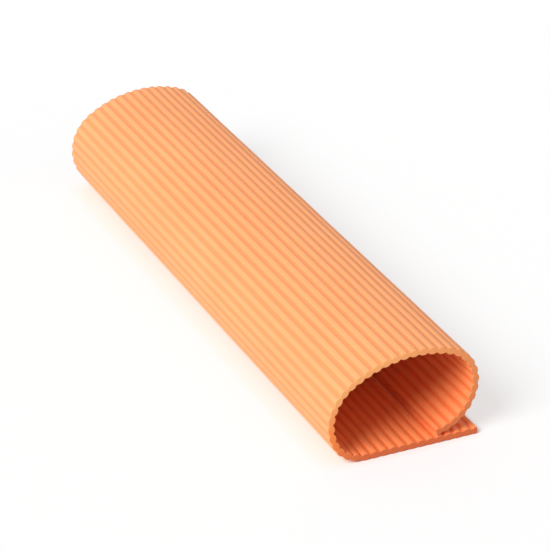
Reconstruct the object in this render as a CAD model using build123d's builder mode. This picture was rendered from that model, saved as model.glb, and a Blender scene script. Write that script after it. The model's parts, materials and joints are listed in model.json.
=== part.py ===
from build123d import *

import os
from math import cos, radians, sin

# Rolling mat of moulded silicone, wrapped once round on itself.
# Round beads run the whole length of the mat on both faces, and a thin web at mid thickness
# joins each bead to the next. The mat bends only in the grooves between the beads.
# Y runs along the beads, +X is the side where the tail sticks out, and +Z is up.
# The origin is on the table, under the middle of the wrapped mat.

# The sheet, in millimetres
mat_length = 210.0
rib_pitch = 3.06
rib_thickness = 2.3
web_thickness = 1.45
groove_width = 0.46
round_share = 0.87

# The two free edges are cut off square, this far from their last groove
edge_reach = 2.1
edge_round = 0.35

# Each rib turns in its groove with this much room round the end of the next web
bend_gap = 0.05

# Ribs in each stretch of the wrap, from the tail's free edge round to the leading edge
tail_ribs = 4
base_ribs = 9
heel_ribs = 4
back_ribs = 7
top_ribs = 11
front_ribs = 6
lead_ribs = 6

# How far the mat bends in each groove of a stretch, in degrees.
# The heel's angle is worked out from the others, and is no sharper than the sharpest.
back_angle = 11.75
top_angle = 4.77
front_angle = 13.63
lead_angle = 11.27
sharpest_angle = 25.0
halvings = 50

# The leading edge comes down on the tail with this much room under it
landing_gap = 0.3

# Worked out from the sizes above
bead_width = rib_pitch - groove_width
bead_round = round_share * min(rib_thickness, bead_width) / 2

# Directions in the XZ plane, in degrees
RIGHT = 0
LEFT = 180
DOWN = -90


def wrap(heel_angle):
    """Each rib's stretch, centre and heading, from the tail's free edge to the leading edge."""
    stretches = [
        ("tail", tail_ribs, 0),
        ("base", base_ribs, 0),
        ("heel", heel_ribs, heel_angle),
        ("back", back_ribs, back_angle),
        ("top", top_ribs, top_angle),
        ("front", front_ribs, front_angle),
        ("lead", lead_ribs, lead_angle),
    ]
    ribs = []
    x, z, heading = 0, rib_thickness / 2, LEFT
    for stretch, count, angle in stretches:
        for _ in range(count):
            heading -= angle
            step_x = rib_pitch * cos(radians(heading))
            step_z = rib_pitch * sin(radians(heading))
            ribs.append((stretch, x + step_x / 2, z + step_z / 2, heading))
            x += step_x
            z += step_z
    return ribs


def bead_reach(heading, direction):
    """How far a bead stands out from its centre in one direction."""
    lean = radians(direction - heading)
    along = (bead_width / 2 - bead_round) * abs(cos(lean))
    across = (rib_thickness / 2 - bead_round) * abs(sin(lean))
    return along + across + bead_round


def landing_height(heel_angle):
    """How high the underside of the leading ribs comes down above the table."""
    leading = wrap(heel_angle)[-lead_ribs:]
    return min(z - bead_reach(heading, DOWN) for _, _, z, heading in leading)


def closing_angle():
    """The heel's angle at each groove that brings the leading edge down onto the tail."""
    too_open, too_closed = 0, sharpest_angle
    for _ in range(halvings):
        angle = (too_open + too_closed) / 2
        if landing_height(angle) > rib_thickness + landing_gap:
            too_open = angle
        else:
            too_closed = angle
    return too_open


def middle_of(ribs):
    """The X half way across the wrapped mat. The tail's free edge is cut short of its bead."""
    right = max(x + bead_reach(heading, RIGHT) for _, x, _, heading in ribs[1:])
    left = min(x - bead_reach(heading, LEFT) for _, x, _, heading in ribs[1:])
    return (left + max(right, edge_reach - rib_pitch)) / 2


def free_edge(side):
    """Cut the bead off square with rounded corners, on its local +X or -X side."""
    with Locations((side * (edge_reach - rib_pitch) / 2, 0)):
        RectangleRounded(edge_reach, rib_thickness, edge_round, mode=Mode.INTERSECT)


def web_with_nose():
    """Web out to the next groove, where its round end is the pin of the bend."""
    with Locations((rib_pitch / 4, 0)):
        Rectangle(rib_pitch / 2, web_thickness)
    with Locations((rib_pitch / 2, 0)):
        Circle(web_thickness / 2)


def socket():
    """Hollow in the bead's side that the web before it turns in."""
    with Locations((-rib_pitch / 2, 0)):
        Circle(web_thickness / 2 + bend_gap, mode=Mode.SUBTRACT)


def make_rib(name, plane, is_first, is_last):
    """One rib over the whole length of the mat, drawn with the leading edge to its local +X."""
    with BuildPart() as rib:
        with BuildSketch(plane):
            RectangleRounded(bead_width, rib_thickness, bead_round)
            if is_first:
                free_edge(-1)
            else:
                socket()
            if is_last:
                free_edge(1)
            else:
                web_with_nose()
        extrude(amount=mat_length / 2, both=True)
    rib.part.label = name
    export_step(rib.part, f"parts/{name}.step")


def main():
    os.makedirs("parts", exist_ok=True)
    heel_angle = closing_angle()
    ribs = wrap(heel_angle)
    middle = middle_of(ribs)
    for number, (stretch, x, z, heading) in enumerate(ribs, start=1):
        along = (cos(radians(heading)), 0, sin(radians(heading)))
        plane = Plane(origin=(x - middle, 0, z), x_dir=along, z_dir=(0, 1, 0))
        name = f"{stretch}_rib_{number:02d}"
        make_rib(name, plane, number == 1, number == len(ribs))
    print(f"{len(ribs)} ribs, heel angle {heel_angle:.3f} degrees, middle at {middle:.3f} mm")


main()
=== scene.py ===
import json
import random
from functools import lru_cache
from math import atan2, cos, pi, radians, sin, sqrt

import bmesh
import bpy
import numpy as np
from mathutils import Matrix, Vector


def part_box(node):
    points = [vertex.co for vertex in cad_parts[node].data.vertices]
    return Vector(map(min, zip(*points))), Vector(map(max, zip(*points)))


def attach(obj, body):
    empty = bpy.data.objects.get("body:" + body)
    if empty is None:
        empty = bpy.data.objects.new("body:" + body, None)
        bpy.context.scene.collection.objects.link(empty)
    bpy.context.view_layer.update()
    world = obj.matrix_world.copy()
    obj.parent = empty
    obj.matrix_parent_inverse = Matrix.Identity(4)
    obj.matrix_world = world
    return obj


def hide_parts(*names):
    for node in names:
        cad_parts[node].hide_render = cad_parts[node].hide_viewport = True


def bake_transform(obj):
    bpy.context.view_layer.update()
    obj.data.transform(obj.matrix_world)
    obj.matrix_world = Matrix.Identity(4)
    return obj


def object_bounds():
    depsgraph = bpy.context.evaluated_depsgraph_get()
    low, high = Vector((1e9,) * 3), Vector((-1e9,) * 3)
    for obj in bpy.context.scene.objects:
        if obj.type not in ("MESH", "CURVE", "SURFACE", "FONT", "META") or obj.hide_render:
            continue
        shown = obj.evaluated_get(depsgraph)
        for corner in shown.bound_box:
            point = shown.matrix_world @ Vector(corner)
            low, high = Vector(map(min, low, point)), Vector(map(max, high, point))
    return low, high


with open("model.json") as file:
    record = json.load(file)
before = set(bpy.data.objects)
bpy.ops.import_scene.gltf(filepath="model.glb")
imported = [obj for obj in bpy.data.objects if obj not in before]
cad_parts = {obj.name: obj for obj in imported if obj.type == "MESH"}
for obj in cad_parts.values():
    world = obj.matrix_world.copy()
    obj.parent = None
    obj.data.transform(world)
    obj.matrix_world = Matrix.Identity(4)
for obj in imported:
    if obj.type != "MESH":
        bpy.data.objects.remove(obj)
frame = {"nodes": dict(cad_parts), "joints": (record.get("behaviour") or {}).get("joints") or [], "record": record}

cad_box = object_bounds()

# Lengths are in metres, written in millimetres, and angles in degrees.
MM = 0.001

# The sheet's section. Its ribs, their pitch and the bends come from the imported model.
web_thickness = 1.45 * MM
bead_width = 2.6 * MM
round_share = 0.87
valley_round = 0.55 * MM
edge_reach = 2.1 * MM
edge_round = 0.35 * MM
end_round = 0.22 * MM
bend_reach = 0.45 * MM

# How far the hand of the mould and the bend leave each rib off its true line
wander_along = 0.05 * MM
wander_inward = 0.06 * MM
wander_thin_share = 0.02
wander_waves = [(95 * MM, 0.6), (41 * MM, 0.4)]
wander_seed = 47

# How finely the mesh follows the section and the length, and the angle past which an edge is sharp
bead_steps = 7
valley_steps = 5
corner_steps = 5
end_steps = 4
length_steps = 48
sharp_angle = 50


# The chain of ribs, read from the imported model


def number_of(node):
    """A rib's number, from its node's name."""
    return int(node.rsplit("_", 1)[1])


def groove_of(joint):
    """Where a groove's bend lies in the XZ plane, as a complex number."""
    x, _, z = joint["pos_m"]
    return complex(x, z)


def turned(angle):
    """A direction at an angle in radians, as a complex number of size 1."""
    return complex(cos(angle), sin(angle))


def find_grooves(joints, base_first, base_last):
    """Each groove's place by number. Those under the roll have no joint and lie evenly between."""
    grooves = {number_of(joint["name"]): groove_of(joint) for joint in joints}
    before, after = grooves[base_first - 1], grooves[base_last]
    for number in range(base_first, base_last):
        share = (number - base_first + 1) / (base_last - base_first + 1)
        grooves[number] = before + (after - before) * share
    return grooves


def find_headings(grooves, joints, count):
    """Each rib's direction as a complex number of size 1, from the tail towards the leading edge."""
    headings = {}
    for number in range(2, count):
        step = grooves[number] - grooves[number - 1]
        headings[number] = step / abs(step)
    headings[1] = headings[2]
    last_bend = next(j for j in joints if number_of(j["name"]) == count - 1)
    headings[count] = headings[count - 1] * turned(-radians(last_bend["range_deg"][1]))
    return headings


rib_nodes = sorted(frame["nodes"], key=number_of)
rib_count = len(rib_nodes)
base_numbers = sorted(number_of(n) for n in frame["record"]["behaviour"]["bodies"]["base"])
base_first, base_last = base_numbers[0], base_numbers[-1]
grooves = find_grooves(frame["joints"], base_first, base_last)
headings = find_headings(grooves, frame["joints"], rib_count)
pitch = abs(grooves[2] - grooves[1])
low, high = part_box(rib_nodes[base_first - 1])
rib_thickness = high.z - low.z
mat_length = high.y - low.y


# The sheet's section, flat, measured from the middle of a groove.
# Each point is its distance along the sheet, its height off mid thickness and its outward direction.


def arc(centre, radius, start, end, steps, hollow=False):
    """Points along an arc, with angles in radians. In a hollow the outward side is the centre's."""
    points = []
    for i in range(steps + 1):
        way = turned(start + (end - start) * i / steps)
        place = centre + radius * way
        outward = -way if hollow else way
        points.append((place.real, place.imag, outward.real, outward.imag))
    return points


def half_face():
    """From the middle of a bead's crest down to the middle of the groove after it."""
    bead_round = round_share * min(rib_thickness, bead_width) / 2
    crest, web = rib_thickness / 2, web_thickness / 2
    bead = complex(-pitch / 2 + bead_width / 2 - bead_round, crest - bead_round)
    rise = web + valley_round - bead.imag
    reach = sqrt((bead_round + valley_round) ** 2 - rise**2)
    valley = bead + complex(reach, rise)
    turn = atan2(rise, reach)
    points = [(-pitch / 2, crest, 0, 1)]
    points += arc(bead, bead_round, pi / 2, turn, bead_steps)
    points += arc(valley, valley_round, turn + pi, 3 * pi / 2, valley_steps, hollow=True)[1:]
    points.append((0, web, 0, 1))
    return points


def mirrored(points):
    """The same points on the far side of the groove, in the same order along the sheet."""
    return [(-s, h, -across, out) for s, h, across, out in reversed(points)]


def free_edge():
    """From the crest of the last bead round the square-cut edge to the other face's crest."""
    corner = complex(edge_reach - edge_round, rib_thickness / 2 - edge_round)
    upper = arc(corner, edge_round, pi / 2, 0, corner_steps)
    lower = arc(corner.conjugate(), edge_round, 0, -pi / 2, corner_steps)
    return upper + lower


def outline(first, last):
    """Closed outline from the middle of rib first to the middle of the rib after groove last.
    Each point also holds its groove's number."""
    half = half_face()
    face = half + mirrored(half)[1:]
    upper = [(first, *face[0])]
    for groove in range(first, last + 1):
        upper += [(groove, *point) for point in face[1:]]
    lower = [(g, s, -h, across, -out) for g, s, h, across, out in reversed(upper)]
    if last == rib_count - 1:
        edge = [(last, *point) for point in free_edge()]
        upper, lower = upper[:-1] + edge, lower[1:]
    if first == 1:
        edge = [(first, -s, h, -across, out) for s, h, across, out in reversed(free_edge())]
        return edge + upper[1:] + lower[:-1]
    return upper + lower


# Each rib's own slow wander off its true line


def wave_set():
    """Waves along the rib, each with its length, share and start."""
    return [(length, share, random.uniform(0, 2 * pi)) for length, share in wander_waves]


def wander(waves, y):
    """How far along its wander a rib is at y, from -1 to 1."""
    return sum(share * sin(2 * pi * y / length + start) for length, share, start in waves)


random.seed(wander_seed)
rib_waves = {n: [wave_set() for _ in range(3)] for n in range(1, rib_count + 1)}


@lru_cache(maxsize=None)
def rib_offset(number, y):
    """Shift along the sheet, shift towards the roll, and share of thickness lost, at y.
    The tail's free edge only wanders inwards, and the flat stretch stays down."""
    along, inward, thin = (wander(waves, y) for waves in rib_waves[number])
    if number == 1:
        along = (1 + along) / 2
    lift = 0 if number <= base_last else (1 + inward) / 2
    return along * wander_along, lift * wander_inward, (1 + thin) / 2 * wander_thin_share


def smooth(share):
    """0 to 1 with a soft start and end."""
    share = min(max(share, 0), 1)
    return share * share * (3 - 2 * share)


def bend_angle(number):
    """How far the sheet turns at a groove, in radians."""
    turn = headings[number + 1] / headings[number]
    return atan2(turn.imag, turn.real)


def rib_middle(number):
    """The middle of a rib. The first and last rib reach past the last groove."""
    if number == 1:
        return grooves[1] - headings[1] * pitch / 2
    if number == rib_count:
        return grooves[number - 1] + headings[number] * pitch / 2
    return (grooves[number - 1] + grooves[number]) / 2


def place(groove, s, h, y):
    """A point of the sheet in the XZ plane, bent as it lies at rest, as a complex number."""
    bend = smooth((s + bend_reach) / (2 * bend_reach))
    before, after = rib_offset(groove, y), rib_offset(groove + 1, y)
    along, inward, thin = (a + (b - a) * bend for a, b in zip(before, after))
    heading = headings[groove] * turned(bend_angle(groove) * bend)
    flat = complex(s + along, h * (1 - thin) - inward)
    if abs(s) < pitch / 2:
        return grooves[groove] + heading * flat
    number, side = (groove, -1) if s < 0 else (groove + 1, 1)
    return rib_middle(number) + heading * (flat - side * pitch / 2)


def length_places():
    """Each section's y and how far its outline draws in, rounding both ends."""
    near = []
    for i in range(end_steps):
        angle = pi / 2 * i / end_steps
        near.append((end_round * (1 - cos(angle)) - mat_length / 2, end_round * (1 - sin(angle))))
    inner = mat_length / 2 - end_round
    middle = [(inner * (2 * i / length_steps - 1), 0) for i in range(length_steps + 1)]
    far = [(-y, inset) for y, inset in reversed(near)]
    return near + middle + far


def skin_faces(count, rows):
    """Faces of a closed tube of rows with count points each, and its two end faces last."""
    faces = []
    for j in range(rows - 1):
        for i in range(count):
            a, b = j * count + i, j * count + (i + 1) % count
            faces.append((a, b, b + count, a + count))
    faces.append(tuple(reversed(range(count))))
    faces.append(tuple(range((rows - 1) * count, rows * count)))
    return faces


def turn_faces_out(mesh):
    """Make every face of a closed mesh look outwards."""
    made = bmesh.new()
    made.from_mesh(mesh)
    bmesh.ops.recalc_face_normals(made, faces=made.faces)
    made.to_mesh(mesh)
    made.free()


def make_piece(name, first, last, material):
    """One closed stretch of the sheet, over the whole length of the mat.
    It keeps where each point lies on the flat sheet, and how high up its bead, from 0 in the groove to 1."""
    points = outline(first, last)
    sections = length_places()
    places, on_sheet, crest = [], [], []
    for y, inset in sections:
        for groove, s, h, across, out in points:
            at = place(groove, s - inset * across, h - inset * out, y)
            places.append((at.real, y, at.imag))
            on_sheet.append(((groove - 1) * pitch + s, y, h))
            crest.append((abs(h) - web_thickness / 2) / (rib_thickness - web_thickness) * 2)
    faces = skin_faces(len(points), len(sections))
    mesh = bpy.data.meshes.new(name)
    mesh.from_pydata(places, [], faces)
    turn_faces_out(mesh)
    mesh.shade_smooth()
    mesh.set_sharp_from_angle(angle=radians(sharp_angle))
    for end_face in (len(faces) - 1, len(faces) - 2):
        mesh.polygons[end_face].use_smooth = False
    where = mesh.attributes.new("on_sheet", "FLOAT_VECTOR", "POINT")
    where.data.foreach_set("vector", np.array(on_sheet, np.float32).ravel())
    height = mesh.attributes.new("crest", "FLOAT", "POINT")
    height.data.foreach_set("value", np.array(crest, np.float32))
    mesh.materials.append(material)
    return add_object(name, mesh)


def add_object(name, data):
    """A new object in the scene."""
    made = bpy.data.objects.new(name, data)
    bpy.context.scene.collection.objects.link(made)
    return made


# Short ways to make the nodes of a material. A value is a number, a colour or another node's output.


def new_tree(owner):
    """The empty node tree of a material or a world."""
    owner.use_nodes = True
    owner.node_tree.nodes.clear()
    return owner.node_tree


def add(tree, kind, inputs=(), **settings):
    """A new node with its settings, and with a value at each named or numbered input."""
    node = tree.nodes.new(kind)
    for name, value in settings.items():
        setattr(node, name, value)
    for socket, value in dict(inputs).items():
        if isinstance(value, bpy.types.NodeSocket):
            tree.links.new(value, node.inputs[socket])
        else:
            node.inputs[socket].default_value = value
    return node


def colour(red, green, blue):
    """A colour written as 0 to 255 for each channel, in the linear values that nodes take."""
    def linear(value):
        share = value / 255
        return share / 12.92 if share <= 0.04045 else ((share + 0.055) / 1.055) ** 2.4
    return linear(red), linear(green), linear(blue), 1


def noise(tree, where, scale, detail):
    """Noise from 0 to 1 over the sheet."""
    texture = add(tree, "ShaderNodeTexNoise", {"Vector": where, "Scale": scale, "Detail": detail})
    return texture.outputs["Fac"]


def scaled(tree, value, start=0, end=1, low=0, high=1, soft=False):
    """From low to high while value goes from start to end, and steady outside that."""
    kind = "SMOOTHSTEP" if soft else "LINEAR"
    limits = {"From Min": start, "From Max": end, "To Min": low, "To Max": high}
    node = add(tree, "ShaderNodeMapRange", {"Value": value, **limits}, interpolation_type=kind)
    return node.outputs["Result"]


def calculate(tree, operation, *values):
    """One sum of up to three values."""
    return add(tree, "ShaderNodeMath", enumerate(values), operation=operation).outputs["Value"]


def mix(tree, share, first, second, blend="MIX"):
    """The second colour over the first, by a share."""
    inputs = {"Factor": share, "A": first, "B": second}
    return add(tree, "ShaderNodeMix", inputs, data_type="RGBA", blend_type=blend).outputs["Result"]


def ramp(tree, value, stops):
    """A colour through stops, each with its place from 0 to 1 and its colour."""
    node = add(tree, "ShaderNodeValToRGB", {"Fac": value})
    elements = node.color_ramp.elements
    while len(elements) < len(stops):
        elements.new(1)
    for element, (position, shade) in zip(elements, stops):
        element.position = position
        element.color = shade
    return node.outputs["Color"]


def bump(tree, height, strength, distance, **inputs):
    """A normal with small relief from a height."""
    values = {"Height": height, "Strength": strength, "Distance": distance, **inputs}
    return add(tree, "ShaderNodeBump", values).outputs["Normal"]


# The silicone's colours
body_stops = [(0.3, colour(253, 166, 107)), (0.7, colour(255, 172, 113))]
# Painted shade in the grooves: a deeper orange standing for shade and for light passing through the silicone
groove_shade_colour = colour(240, 130, 68)
# Painted shade over the whole inner face, which faces the shaded inside of the roll
inner_shade_colour = colour(255, 226, 212)
# Painted shade and painted light for the cut ends
deep, warm, pale = colour(216, 102, 48), colour(255, 138, 62), colour(255, 172, 102)

# Colour of the two cut ends, by rib from the tail's free edge, painted light and shade:
# deep painted shade on the flat stretch, a warm painted glow of light through the silicone at the heel and a pale,
# lit colour over the back
end_shade_stops = [(rib / rib_count, shade) for rib, shade in
             [(12, deep), (17, warm), (21, pale), (28, pale), (rib_count, deep)]]

# How strong the grooves' painted shade is at their bottom, how much more on the inner face,
# and how far up the bead it reaches
groove_strength = 0.45
inner_extra = 0.5
groove_fade = 0.8

# Scale and detail of the mottling, the skin's grain and the faint lines drawn out along the ribs
mottling = (28, 3)
graining = (2600, 2)
streaking = (1500, 3)
drawn_out = (1, 0.04, 1)

# Strength and height of the grain and the lines, and the roughness between the lines
grain_relief = (0.35, 0.02 * MM)
line_relief = (0.3, 0.03 * MM)
roughness = (0.5, 0.68)


def silicone_colour(tree, where, crest):
    """Mottled body, with painted shade deepening the grooves and warming the inner face, and painted light and
    shade on the cut ends.
    """
    x, y, z = add(tree, "ShaderNodeSeparateXYZ", {"Vector": where}).outputs
    body = ramp(tree, noise(tree, where, *mottling), body_stops)
    inner = scaled(tree, z, web_thickness / 4, -web_thickness / 4)
    # Painted shade, deepest at the groove bottoms and stronger on the inner face
    depth = scaled(tree, crest, 0, groove_fade, groove_strength, 0, soft=True)
    strength = calculate(tree, "MULTIPLY", depth, calculate(tree, "MULTIPLY_ADD", inner, inner_extra, 1))
    skin = mix(tree, strength, body, groove_shade_colour)
    # Painted shade: the inner face is made warmer and darker
    skin = mix(tree, inner, skin, inner_shade_colour, blend="MULTIPLY")
    # Painted light and shade on the cut ends, changing along the sheet
    from_middle = calculate(tree, "ABSOLUTE", y)
    at_end = scaled(tree, from_middle, mat_length / 2 - end_round, mat_length / 2)
    along = scaled(tree, x, 0, (rib_count - 1) * pitch)
    return mix(tree, at_end, skin, ramp(tree, along, end_shade_stops))


def silicone():
    """Matte moulded silicone: soft mottling, painted shade in the grooves and a fine skin."""
    material = bpy.data.materials.new("silicone")
    tree = new_tree(material)
    where = add(tree, "ShaderNodeAttribute", attribute_name="on_sheet").outputs["Vector"]
    crest = add(tree, "ShaderNodeAttribute", attribute_name="crest").outputs["Fac"]
    grain = noise(tree, where, *graining)
    drawn = add(tree, "ShaderNodeVectorMath", {0: where, 1: drawn_out}, operation="MULTIPLY")
    lines = noise(tree, drawn.outputs["Vector"], *streaking)
    skin = bump(tree, grain, *grain_relief)
    shader = add(tree, "ShaderNodeBsdfPrincipled", {
        "Base Color": silicone_colour(tree, where, crest),
        "Roughness": scaled(tree, lines, 0, 1, *roughness),
        "Normal": bump(tree, lines, *line_relief, Normal=skin),
    })
    add(tree, "ShaderNodeOutputMaterial", {"Surface": shader.outputs["BSDF"]})
    return material


# The mat


def bend_ends(number):
    """Start and end of the bend at a groove, as points in the frame."""
    way = headings[number] * turned(bend_angle(number) / 2) * bend_reach
    start, end = grooves[number] - way, grooves[number] + way
    return (start.real, 0, start.imag), (end.real, 0, end.imag)


def make_mat():
    """The flat stretch in one piece on the base, and a piece over each other groove, shaped in its bend as it lies
    at rest.
    """
    material = silicone()
    base = make_piece("base_sheet", base_first, base_last - 1, material)
    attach(base, "base")
    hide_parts(*(rib_nodes[n - 1] for n in base_numbers))
    for number in range(1, rib_count):
        if base_first <= number < base_last:
            continue
        piece = make_piece(f"bend_{number:02d}", number, number, material)
        start, end = bend_ends(number)
        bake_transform(piece)
        rib = number if number < base_first else number + 1
        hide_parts(rib_nodes[rib - 1])


make_mat()


# The floor, the light and the camera

floor_size = 6.0
floor_grey = 0.8
sun_from = (-0.7, -0.3, 0.65)
sun_level = 0.87
sky_level = 0.43
sun_softness = 30

# How much of the floor's shadow is lifted, and how far past the mat that is reached
shadow_lift = 0.6
lift_reach = 3 * MM

# The camera as fitted to the photograph, with its lens in millimetres as Blender takes it
camera_place = (-315.7 * MM, -703.2 * MM, 411.6 * MM)
camera_azimuth = -24.6
camera_elevation = 27.57
camera_lens = 174.35
sensor_width = 36.0
camera_nearest = 10 * MM
camera_furthest = 20.0


def seen_rays(tree):
    """1 for rays that show the background itself, and 0 for rays that light something."""
    rays = add(tree, "ShaderNodeLightPath").outputs
    straight = calculate(tree, "MAXIMUM", rays["Is Camera Ray"], rays["Is Glossy Ray"])
    return calculate(tree, "MAXIMUM", straight, rays["Is Transmission Ray"])


def past_mat(tree):
    """How far a spot of the floor lies past the mat's outline, and less than 0 under the mat."""
    spot = add(tree, "ShaderNodeTexCoord").outputs["Object"]
    x, y, _ = add(tree, "ShaderNodeSeparateXYZ", {"Vector": spot}).outputs
    half_width = (cad_box[1][0] - cad_box[0][0]) / 2
    past = []
    for value, half in ((x, half_width), (y, mat_length / 2)):
        size = calculate(tree, "ABSOLUTE", value)
        past.append(calculate(tree, "SUBTRACT", size, half))
    return calculate(tree, "MAXIMUM", *past)


def paper():
    """White floor. The camera sees it as white, with the object's soft shadow on it."""
    material = bpy.data.materials.new("paper")
    tree = new_tree(material)
    seen = seen_rays(tree)
    shade = scaled(tree, seen, 0, 1, floor_grey, 1, soft=True)
    matte = add(tree, "ShaderNodeBsdfDiffuse", {"Color": shade})
    white = add(tree, "ShaderNodeEmission", {"Strength": 1})
    lift = scaled(tree, past_mat(tree), 0, lift_reach, 0, shadow_lift, soft=True)
    both = add(tree, "ShaderNodeMixShader", {
        "Fac": calculate(tree, "MULTIPLY", seen, lift),
        1: matte.outputs["BSDF"],
        2: white.outputs["Emission"],
    })
    add(tree, "ShaderNodeOutputMaterial", {"Surface": both.outputs["Shader"]})
    return material


def make_floor():
    half = floor_size / 2
    corners = [(-half, -half, 0), (half, -half, 0), (half, half, 0), (-half, half, 0)]
    mesh = bpy.data.meshes.new("floor")
    mesh.from_pydata(corners, [], [(0, 1, 2, 3)])
    mesh.materials.append(paper())
    add_object("floor", mesh)


def make_sun():
    sun = bpy.data.lights.new("key", "SUN")
    sun.angle = radians(sun_softness)
    sun.energy = sun_level * pi
    lamp = add_object("key", sun)
    lamp.rotation_mode = "QUATERNION"
    lamp.rotation_quaternion = Vector(sun_from).to_track_quat("Z", "Y")


def make_sky():
    """White all round, at the sky's level where it lights the mat."""
    world = bpy.data.worlds.new("studio")
    tree = new_tree(world)
    level = scaled(tree, seen_rays(tree), 0, 1, sky_level, 1)
    sky = add(tree, "ShaderNodeBackground", {"Color": (1, 1, 1, 1), "Strength": level})
    add(tree, "ShaderNodeOutputWorld", {"Surface": sky.outputs["Background"]})
    bpy.context.scene.world = world


def make_camera():
    azimuth, elevation = radians(camera_azimuth), radians(camera_elevation)
    back = Vector((
        sin(azimuth) * cos(elevation),
        -cos(azimuth) * cos(elevation),
        sin(elevation),
    ))
    data = bpy.data.cameras.new("camera")
    data.sensor_width = sensor_width
    data.lens = camera_lens
    data.clip_start = camera_nearest
    data.clip_end = camera_furthest
    camera = add_object("camera", data)
    camera.location = camera_place
    camera.rotation_mode = "QUATERNION"
    camera.rotation_quaternion = (-back).to_track_quat("-Z", "Y")
    bpy.context.scene.camera = camera


make_floor()
make_sun()
make_sky()
make_camera()
bpy.context.scene.view_settings.view_transform = "Standard"
